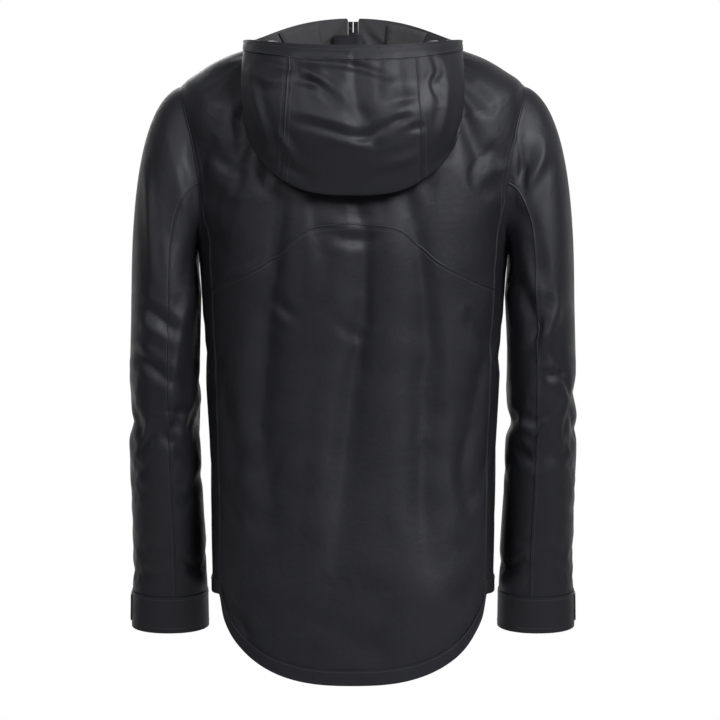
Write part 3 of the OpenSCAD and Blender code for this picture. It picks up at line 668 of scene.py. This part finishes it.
def add_creases(mesh):
    co, n = points_of(mesh), normals_of(mesh)
    corner, totals = np.empty(len(mesh.loops), np.int64), np.empty(len(mesh.polygons), np.int64)
    index = np.empty(len(mesh.polygons), np.int64)
    mesh.loops.foreach_get("vertex_index", corner)
    mesh.polygons.foreach_get("loop_total", totals)
    mesh.polygons.foreach_get("material_index", index)
    part = np.full(len(co), -1)
    part[corner] = np.repeat(index, totals)
    lift = np.zeros(len(co))
    for where, height, width, points in CREASES:
        keys = [(k, p) for k, p in enumerate(points)]
        line = smooth(keys, np.linspace(0, len(points) - 1, (len(points) - 1) * 6 + 1))
        chosen = (part == PARTS.index(where)) & (n[:, 1] > 0.12)
        at = np.flatnonzero(chosen & ((co[:, 1] > 0.1) | (where != "hood")))
        d, along = to_line(co[at][:, (0, 2)] / MM, line)
        ends = np.sin(np.pi * np.clip(0.06 + 0.88 * along, 0, 1)) ** 0.7
        lift[at] += height * ends * (np.exp(-((d / width) ** 1.4)) - 0.35 * np.exp(-(((d - 1.9 * width) / width) ** 2)))
    move_to(mesh, co + n * (lift * MM)[:, None])


add_creases(shell.data)

# ---------------------------------------------------------------- materials


class Paint:
    """A Principled material with helpers for the nodes behind its sockets."""

    def __init__(self, name, colour, roughness, flat=False, **sockets):
        self.m = bpy.data.materials.new(name)
        self.m.use_nodes = True
        self.tree = self.m.node_tree
        self.bsdf = self.tree.nodes["Principled BSDF"]
        self.bsdf.inputs["Base Color"].default_value = (*colour, 1)
        self.bsdf.inputs["Roughness"].default_value = roughness
        for key, value in sockets.items():
            self.bsdf.inputs[key.replace("_", " ")].default_value = value
        self.coords = self.node("ShaderNodeTexCoord").outputs["UV" if flat else "Object"]
        split = self.node("ShaderNodeSeparateXYZ")
        self.tree.links.new(self.coords, split.inputs[0])
        self.x, self.y, self.z = split.outputs

    def node(self, kind, **inputs):
        n = self.tree.nodes.new(kind)
        for key, value in inputs.items():
            n.inputs[key].default_value = value
        return n

    def math(self, operation, *values):
        n = self.node("ShaderNodeMath")
        n.operation = operation
        for k, value in enumerate(values):
            if isinstance(value, (int, float)):
                n.inputs[k].default_value = value
            else:
                self.tree.links.new(value, n.inputs[k])
        return n.outputs[0]

    def wave(self, value, period):
        return self.math("SINE", self.math("MULTIPLY", value, 2 * math.pi / period))

    def noise(self, scale, detail=3.0):
        n = self.node("ShaderNodeTexNoise", Scale=scale, Detail=detail)
        self.tree.links.new(self.coords, n.inputs["Vector"])
        return n.outputs["Fac"]

    def bump(self, height, distance, strength):
        b = self.node("ShaderNodeBump", Distance=distance, Strength=strength)
        self.tree.links.new(height, b.inputs["Height"])
        normal = self.bsdf.inputs["Normal"]
        if normal.is_linked:
            self.tree.links.new(normal.links[0].from_socket, b.inputs["Normal"])
        self.tree.links.new(b.outputs["Normal"], normal)

    def vary_gloss(self, scale, low, high):
        r = self.node("ShaderNodeMapRange")
        for key, value in (("From Min", 0.3), ("From Max", 0.7), ("To Min", low), ("To Max", high)):
            r.inputs[key].default_value = value
        self.tree.links.new(self.noise(scale), r.inputs["Value"])
        self.tree.links.new(r.outputs[0], self.bsdf.inputs["Roughness"])

    def vary_colour(self, scale, a, b, factor=None):
        mix = self.node("ShaderNodeMix")
        mix.data_type = "RGBA"
        mix.inputs[6].default_value, mix.inputs[7].default_value = (*a, 1), (*b, 1)
        self.tree.links.new(factor or self.noise(scale, 4.0), mix.inputs[0])
        self.tree.links.new(mix.outputs[2], self.bsdf.inputs["Base Color"])


def woven(name, colour, deeper, gloss, thread=0.0005, crinkle=0.4, flat=False, **sockets):
    """Plain weave: crossed threads, small crinkles, and a colour and gloss that change a little over the cloth."""
    p = Paint(name, colour, gloss[0], flat, **sockets)
    p.vary_colour(14.0, deeper, colour)
    p.vary_gloss(30.0, *gloss)
    p.bump(p.noise(130.0, 4.0), 0.0009, crinkle)
    p.bump(p.math("MULTIPLY", p.wave(p.x, 2 * thread), p.wave(p.y if flat else p.z, 2 * thread)), 0.00006, 0.6)
    return p.m


def moulded(name, colour, gloss, grain=900.0, depth=0.00008, **sockets):
    """Moulded plastic or rubber with a fine grain, a little lighter where it has been handled."""
    p = Paint(name, colour, gloss[0], **sockets)
    p.vary_colour(60.0, colour, tuple(1.5 * c for c in colour))
    p.vary_gloss(80.0, *gloss)
    p.bump(p.noise(grain, 2.0), depth, 0.5)
    return p.m


def metal(name, colour, gloss):
    """Plated metal with light scratches."""
    p = Paint(name, colour, gloss[0], Metallic=1.0)
    p.vary_colour(50.0, colour, tuple(0.7 * c for c in colour))
    p.vary_gloss(300.0, *gloss)
    p.bump(p.noise(1500.0, 3.0), 0.00003, 0.3)
    return p.m


BLACK, DEEP = (0.0112, 0.0114, 0.0142), (0.0074, 0.0075, 0.0094)
SHEEN = {"Specular_IOR_Level": 0.32, "Specular_Tint": (0.9, 0.91, 1.0, 1)}
fabric = woven("shell_fabric", BLACK, DEEP, (0.44, 0.58), flat=True, **SHEEN)
seam_cloth = woven("seam_cloth", BLACK, DEEP, (0.44, 0.58), crinkle=0.15, **SHEEN)
lining = woven("lining_knit", (0.019, 0.019, 0.023), (0.013, 0.013, 0.016), (0.6, 0.75), 0.0012, 0.2, True)
brushed = woven("brushed_lining", (0.034, 0.034, 0.038), (0.022, 0.022, 0.025), (0.8, 0.95), 0.0014, 0.5, Sheen_Weight=0.1)
pocketing = woven("pocketing", (0.018, 0.018, 0.020), (0.012, 0.012, 0.014), (0.6, 0.75), 0.0014, 0.5)
taping = woven("zip_tape", (0.016, 0.016, 0.018), (0.010, 0.010, 0.012), (0.3, 0.42), 0.0009, 0.1)
webbing = woven("webbing", (0.014, 0.014, 0.016), (0.008, 0.008, 0.009), (0.6, 0.75), 0.0016, 0.1)
thread = moulded("sewing_thread", (0.022, 0.022, 0.025), (0.4, 0.55), 2000.0, 0.00003)
rubber = moulded("puller_rubber", (0.013, 0.013, 0.014), (0.45, 0.6))
plastic = moulded("lock_plastic", (0.016, 0.016, 0.017), (0.35, 0.5), 600.0)
tab_rubber = moulded("tab_rubber", (0.012, 0.012, 0.013), (0.5, 0.62), 700.0, 0.00012)
zip_metal = metal("zip_metal", (0.09, 0.09, 0.095), (0.28, 0.42))
spring_steel = metal("spring_steel", (0.45, 0.45, 0.46), (0.2, 0.35))

coil_paint = Paint("zip_coil", (0.012, 0.012, 0.013), 0.35)
coil_paint.vary_gloss(200.0, 0.3, 0.42)
coil_paint.bump(coil_paint.wave(coil_paint.z, 0.0013), 0.0004, 0.8)
cord_paint = Paint("cord_braid", (0.014, 0.014, 0.016), 0.6)
cord_paint.vary_colour(700.0, DEEP, BLACK)
cord_paint.bump(
    cord_paint.math(
        "MULTIPLY",
        cord_paint.wave(cord_paint.math("ADD", cord_paint.x, cord_paint.z), 0.0018),
        cord_paint.wave(cord_paint.math("SUBTRACT", cord_paint.y, cord_paint.z), 0.0018),
    ),
    0.0003,
    0.7,
)
pile_paint = Paint("loop_pile", (0.017, 0.017, 0.019), 0.95, Sheen_Weight=0.2)
pile_paint.vary_colour(900.0, (0.008, 0.008, 0.009), (0.024, 0.024, 0.026))
pile_paint.bump(pile_paint.noise(1100.0, 2.0), 0.0008, 0.9)

NODE_MATERIALS = [
    ("coil", coil_paint.m),
    ("slider", zip_metal),
    ("puller", rubber),
    ("retainer", zip_metal),
    ("stops", zip_metal),
    ("lock", plastic),
    ("button", rubber),
    ("spring", spring_steel),
    ("drawcord", cord_paint.m),
    ("anchor", webbing),
    ("hang_loop", webbing),
    ("loop_patch", pile_paint.m),
    ("cuff_tab", tab_rubber),
    ("zip", taping),
    ("", fabric),
]
for name, obj in nodes.items():
    chosen = next(m for part, m in NODE_MATERIALS if part in name)
    for place in obj.material_slots:
        place.material = chosen
    if not obj.material_slots:
        obj.data.materials.append(chosen)

# ---------------------------------------------------------------- the shell's four pieces


def only(mesh, keep, name, material):
    """An object of a copy of a mesh with only the faces that keep(face, zone) chooses."""
    mesh = mesh.copy()
    bm = bmesh.new()
    bm.from_mesh(mesh)
    zone = bm.faces.layers.int["zone"]
    bmesh.ops.delete(bm, geom=[f for f in bm.faces if not keep(f, f[zone])], context="FACES")
    for f in bm.faces:
        f.material_index, f.smooth = 0, True
    bm.to_mesh(mesh)
    bm.free()
    mesh.materials.clear()
    mesh.materials.append(material)
    obj = bpy.data.objects.new(name, mesh)
    scene.collection.objects.link(obj)
    return obj


def thicken(obj, thickness, offset, inside=None):
    thick = obj.modifiers.new("thick", "SOLIDIFY")
    thick.thickness, thick.offset = thickness, offset
    if inside:
        obj.data.materials.append(inside)
        thick.material_offset = 1
    apply_modifiers(obj)
    obj.data.set_sharp_from_angle(angle=math.radians(50))
    return obj


def doubled(source, zone, name):
    """A second layer of cloth sewn on along an edge."""
    obj = only(source.data, lambda f, z: z == zone, name, fabric)
    move_to(obj.data, points_of(obj.data) + normals_of(obj.data) * 0.0004)
    return thicken(obj, 0.0007, 1)


PIECES = {}
TREES = {}
for k, (part, name) in enumerate(zip(PARTS, ("shell_body", "shell_sleeve_left", "shell_sleeve_right", "shell_hood"))):
    PIECES[part] = only(shell.data, lambda f, z: f.material_index == k, name, fabric)
    bm = bmesh.new()
    bm.from_mesh(PIECES[part].data)
    TREES[part] = BVHTree.FromBMesh(bm)
    bm.free()
BANDS = {
    "torso": doubled(PIECES["torso"], HEM, "hem_band"),
    "left": doubled(PIECES["left"], CUFF, "cuff_band_left"),
    "right": doubled(PIECES["right"], CUFF, "cuff_band_right"),
    "hood": doubled(PIECES["hood"], BRIM, "hood_brim_band"),
}
for obj in PIECES.values():
    thicken(obj, 0.0012, -1, lining)
bpy.data.objects.remove(shell)

# ---------------------------------------------------------------- seams and stitches


class Trim:
    """Low ridges and stitches laid on one piece of the shell."""

    def __init__(self, part):
        self.part, self.verts, self.faces = part, [], []

    def settle(self, line, pitch, lift=0.0):
        """Even points along a line of CAD points in millimetres, on the cloth, with their directions."""
        p = with_cloth(np.asarray(line) * MM)
        found = [TREES[self.part].find_nearest(Vector(a)) for a in p]
        p = np.array([f[0] for f in found])
        n = np.array([f[1] for f in found])
        run = np.concatenate([[0], np.cumsum(np.linalg.norm(np.diff(p, axis=0), axis=1))])
        at = np.linspace(0, run[-1], max(int(run[-1] / pitch), 2) + 1)
        p = np.stack([np.interp(at, run, p[:, c]) for c in range(3)], -1)
        n = unit(np.stack([np.interp(at, run, n[:, c]) for c in range(3)], -1))
        t = unit(np.gradient(p, axis=0))
        return p + n * lift, n, t, unit(np.cross(n, t))

    def ridge(self, line, width=0.0032, height=0.0008, lift=0.0):
        p, n, _, b = self.settle(line, 0.004, lift)
        start = len(self.verts)
        for share, rise in ((-0.5, -0.0004), (-0.3, 0.7 * height), (0, height), (0.3, 0.7 * height), (0.5, -0.0004)):
            self.verts.extend(p + b * (share * width) + n * rise)
        m = len(p)
        for c in range(4):
            for k in range(m - 1):
                a = start + c * m + k
                self.faces.append((a, a + 1, a + m + 1, a + m))
        return self

    def stitches(self, line, pitch=0.0034, lift=0.0):
        p, n, t, b = self.settle(line, pitch, lift)
        for a, up, on, side in zip(p, n, t, b):
            start = len(self.verts)
            for s in (-0.0005, 0.0005):
                self.verts += [a + on * s - side * 0.0004, a + on * s + up * 0.00045, a + on * s + side * 0.0004]
            self.verts += [a - on * 0.0011 - up * 0.0001, a + on * 0.0011 - up * 0.0001]
            for f in ((0, 3, 4, 1), (1, 4, 5, 2), (6, 0, 1), (6, 1, 2), (7, 4, 3), (7, 5, 4)):
                self.faces.append(tuple(start + k for k in f))
        return self

    def make(self, name, material):
        mesh = bpy.data.meshes.new(name)
        mesh.from_pydata([tuple(v) for v in self.verts], [], self.faces)
        mesh.shade_smooth()
        mesh.materials.append(material)
        obj = bpy.data.objects.new(name, mesh)
        scene.collection.objects.link(obj)
        return obj


SIDES = {"left": 1, "right": -1}
seams = {part: Trim(part) for part in PARTS}
sewing = {part: Trim(part) for part in PARTS}
across = np.linspace(0, 1, 90)


def both(part, line, offset=None, ridge=True):
    """A ridge along a line, and a row of stitches beside it."""
    if ridge:
        seams[part].ridge(line)
    if offset is not None:
        sewing[part].stitches(offset)


yoke_u = across_back(across)
yoke_v = smooth(YOKE_SEAM, np.abs(cos(yoke_u)))
both("torso", torso(yoke_u, yoke_v), torso(yoke_u, yoke_v - 4 * V_PER_MM))
up = np.linspace(0.004, LEAVE_V, 120)
for side in (1, -1):
    for u, beside in ((SIDE_U, 1.2), (-SIDE_U, -1.2)):
        both("torso", torso(u, up) * (side, 1, 1), torso(u + beside, up) * (side, 1, 1))
    q = np.linspace(0, 360, 160)
    hole = torso(ARM_U * sin(q), ARM_V + ARM_HALF * cos(q)) * (side, 1, 1)
    inside = torso(ARM_U * 1.14 * sin(q), ARM_V + ARM_HALF * 1.05 * cos(q)) * (side, 1, 1)
    both("torso", hole, inside)
    both("torso", torso(0.0, np.linspace(ARM_V + ARM_HALF, 0.99, 30)) * (side, 1, 1))
    # Stitching down the front edge, and along the hem.
    edge_v = np.linspace(0.005, 0.995, 160)
    edge = torso(-np.degrees(np.arccos((15 / smooth(TORSO, edge_v)[..., 0]) ** (1 / SIDE_POWER))), edge_v)
    both("torso", edge, edge * (side, 1, 1), ridge=False)
    front_hem = torso(across_front(across, np.full(90, 16 * V_PER_MM)), 16 * V_PER_MM)
    sewing["torso"].stitches(front_hem * (side, 1, 1), lift=0.0011)
    sewing["torso"].stitches(torso(np.linspace(-SIDE_U, SIDE_U, 20), 16 * V_PER_MM) * (side, 1, 1), lift=0.0011)
sewing["torso"].stitches(torso(across_back(across), tail_edge_v(across_back(across)) + 16 * V_PER_MM), lift=0.0011)

for ends, sides in ((POCKET, (1, -1)), (CHEST, (1,))):
    a, b = (torso(*e) for e in ends)
    along = unit(b - a)
    out = unit(torso_off(*(np.array(ends[0]) + np.array(ends[1])) / 2, 1.0) - torso(*(np.array(ends[0]) + np.array(ends[1])) / 2))
    wide = np.cross(out, along)
    for share, trim in ((9.5, seams), (12.5, sewing)):
        corners = [a - along * share + wide * share, b + along * share + wide * share]
        corners += [b + along * share - wide * share, a - along * share - wide * share]
        corners.append(corners[0])
        line = np.concatenate([lerp(corners[k], corners[k + 1], np.linspace(0, 1, 30)[:, None]) for k in range(4)])
        for side in sides:
            shape = trim["torso"].ridge if trim is seams else trim["torso"].stitches
            shape(line * (side, 1, 1))

for part, side in SIDES.items():
    down = np.linspace(0.01, CUFF_S, 130)
    for q, beside in ((100, 97), (-100, -97)):
        both(part, sleeve(q, down) * (side, 1, 1), sleeve(beside, down) * (side, 1, 1))
    q = np.linspace(0, 360, 100)
    for s in (CUFF_S + 4 / 421, 2 - 6 / 421):
        sewing[part].stitches(sleeve(q, s) * (side, 1, 1), lift=0.0011)

for a in (HOOD_SEAM_A, 180 - HOOD_SEAM_A):
    for beside, trim in ((0.0, "ridge"), (2.6, "stitch"), (-2.6, "stitch")):
        at = np.full(60, a + beside)
        fold, middle = hood_fold(at)
        line = bend(opening(at), middle, fold, np.linspace(0.02, 1, 60))
        seams["hood"].ridge(line) if trim == "ridge" else sewing["hood"].stitches(line)
a = np.linspace(12, 168, 120)
fold, middle = hood_fold(a)
for b in (0.03, 0.10):
    sewing["hood"].stitches(bend(opening(a), middle, fold, np.full(120, b)), lift=0.0011)

# ---------------------------------------------------------------- soft pieces inside


def soft_copy(name, source, material):
    """A cloth piece in the space of a thin CAD piece behind the shell, which follows the shell's folds."""
    mesh = nodes[source].data.copy()
    bm = bmesh.new()
    bm.from_mesh(mesh)
    bmesh.ops.remove_doubles(bm, verts=bm.verts, dist=0.00001)
    for _ in range(3):
        long = [e for e in bm.edges if e.calc_length() > 0.012]
        if long:
            bmesh.ops.subdivide_edges(bm, edges=long, cuts=1, use_grid_fill=True)
    bmesh.ops.triangulate(bm, faces=bm.faces)
    for f in bm.faces:
        f.material_index = 0
    bm.to_mesh(mesh)
    bm.free()
    p = points_of(mesh)
    ripple = wander(p / MM, 34, 40) * 0.0005
    move_to(mesh, with_cloth(p) + unit(p * (1, 1, 0)) * np.minimum(ripple, 0)[:, None])
    mesh.materials.clear()
    mesh.materials.append(material)
    mesh.shade_smooth()
    mesh.set_sharp_from_angle(angle=math.radians(50))
    obj = bpy.data.objects.new(name, mesh)
    scene.collection.objects.link(obj)
    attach(obj, "shell")
    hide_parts(source)
    return obj


for source, material, slot in (
    ("neck_facing", brushed, "lining"),
    ("chin_guard", brushed, "lining"),
    ("storm_flap", seam_cloth, "shell"),
    ("pocket_bag_left", pocketing, "lining"),
    ("pocket_bag_right", pocketing, "lining"),
    ("chest_pocket_bag", pocketing, "lining"),
    ("hem_tunnel_back", seam_cloth, "shell"),
    ("hem_tunnel_left", seam_cloth, "shell"),
    ("hem_tunnel_right", seam_cloth, "shell"),
):
    soft_copy(source + "_cloth", source, material)

# ---------------------------------------------------------------- springs in the cord locks

WIRE, COIL_TURNS, COIL_STEPS, WIRE_SIDES = 0.35, 5, 28, 8


def lock_spring(side):
    """A coil spring in the space of the CAD's stack of rings."""
    source = nodes["hem_spring_" + side]
    corners = np.array([source.matrix_world @ Vector(c) for c in source.bound_box]) / MM
    low, high = corners.min(0), corners.max(0)
    centre, radius = (low + high) / 2, (high[0] - low[0]) / 2 - WIRE
    turn = np.linspace(0, 360 * COIL_TURNS, COIL_TURNS * COIL_STEPS + 1)
    z = np.linspace(low[2] + WIRE, high[2] - WIRE, len(turn))
    out = np.stack([cos(turn), sin(turn), 0 * turn], -1)
    line = centre * (1, 1, 0) + radius * out + z[:, None] * (0, 0, 1)
    around = np.linspace(0, 360, WIRE_SIDES, endpoint=False)
    rings = line[:, None] + WIRE * (cos(around)[:, None] * out[:, None] + sin(around)[:, None] * (0, 0, 1))
    faces = [tuple(range(WIRE_SIDES)), tuple(range(rings[..., 0].size - 1, rings[..., 0].size - 1 - WIRE_SIDES, -1))]
    for k in range(len(line) - 1):
        for j in range(WIRE_SIDES):
            a, b = k * WIRE_SIDES + j, k * WIRE_SIDES + (j + 1) % WIRE_SIDES
            faces.append((a, a + WIRE_SIDES, b + WIRE_SIDES, b))
    mesh = bpy.data.meshes.new("lock_spring_" + side)
    mesh.from_pydata((rings.reshape(-1, 3) * MM).tolist(), [], faces)
    mesh.shade_smooth()
    mesh.materials.append(spring_steel)
    obj = bpy.data.objects.new(mesh.name, mesh)
    scene.collection.objects.link(obj)
    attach(obj, "hem_lock_" + side)
    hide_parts(source.name)
    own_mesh(obj)


for side in SIDES:
    lock_spring(side)

# ---------------------------------------------------------------- the torso's pieces on the shell body, the others baked in place, and the CAD parts they replace hidden

BENDS = {
    "left": ("sleeve_left", (0.190, 0, -0.2417), (0.2564, 0, -0.2915)),
    "right": ("sleeve_right", (-0.190, 0, -0.2417), (-0.2564, 0, -0.2915)),
    "hood": ("hood", (0, 0.064, -0.0133), (0, 0.110, -0.041)),
}
REPLACED = {
    "torso": ("back_yoke", "back_panel", "front_panel_left", "front_panel_right", "side_panel_left", "side_panel_right"),
    "left": ("sleeve_outer_left", "sleeve_under_left", "cuff_left"),
    "right": ("sleeve_outer_right", "sleeve_under_right", "cuff_right"),
    "hood": ("hood_center_panel", "hood_side_left", "hood_side_right", "hood_brim", "collar_left", "collar_right"),
}
for k, part in enumerate(PARTS):
    trims = [BANDS[part], seams[part].make("seams_" + part, seam_cloth), sewing[part].make("stitches_" + part, thread)]
    for obj in (PIECES[part], *trims):
        if part in BENDS:
            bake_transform(obj)
        else:
            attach(obj, "shell")
    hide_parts(*REPLACED[part])
    wide = math.sqrt(cut_area[k] / 0.8)

# ---------------------------------------------------------------- studio

world = bpy.data.worlds.new("studio")
scene.world = world
world.use_nodes = True
tree = world.node_tree
sky = tree.nodes["Background"]
sky.inputs["Color"].default_value = (1, 1, 1, 1)
direction, split, ramp = (tree.nodes.new(k) for k in ("ShaderNodeTexCoord", "ShaderNodeSeparateXYZ", "ShaderNodeMapRange"))
for key, value in (("From Min", -0.9), ("From Max", -0.2), ("To Min", 1.0), ("To Max", 0.11)):
    ramp.inputs[key].default_value = value
tree.links.new(direction.outputs["Generated"], split.inputs[0])
tree.links.new(split.outputs[1], ramp.inputs["Value"])
tree.links.new(ramp.outputs[0], sky.inputs["Strength"])


def lamp(name, place, size, power):
    data = bpy.data.lights.new(name, "AREA")
    data.shape = "RECTANGLE"
    data.size, data.size_y = size
    data.energy = power
    obj = bpy.data.objects.new(name, data)
    scene.collection.objects.link(obj)
    obj.location = place
    obj.rotation_euler = (Vector((0, 0, -0.35)) - Vector(place)).to_track_quat("-Z", "Y").to_euler()


lamp("key", (-1.4, 1.8, 1.2), (0.9, 1.1), 84)
lamp("fill", (1.2, 2.0, 1.2), (0.8, 1.0), 24)
lamp("front", (0.6, -3.0, 1.4), (2.0, 2.0), 60)

bpy.ops.mesh.primitive_plane_add(size=4, location=(0, 0, -1.3))
floor = bpy.context.object
floor.name = "floor"
floor_paint = Paint("floor", (0.55, 0.55, 0.55), 0.8)
floor_paint.vary_gloss(3.0, 0.75, 0.85)
floor.data.materials.append(floor_paint.m)

lens = bpy.data.cameras.new("camera")
camera = bpy.data.objects.new("camera", lens)
scene.collection.objects.link(camera)
camera.location = (-0.00875, 3.4, -0.385)
camera.rotation_euler = (math.radians(90), 0, math.radians(180))
lens.lens, lens.sensor_width, lens.clip_end = 136, 36, 60
scene.camera = camera
scene.view_settings.view_transform = "Standard"
scene.view_settings.look = "None"
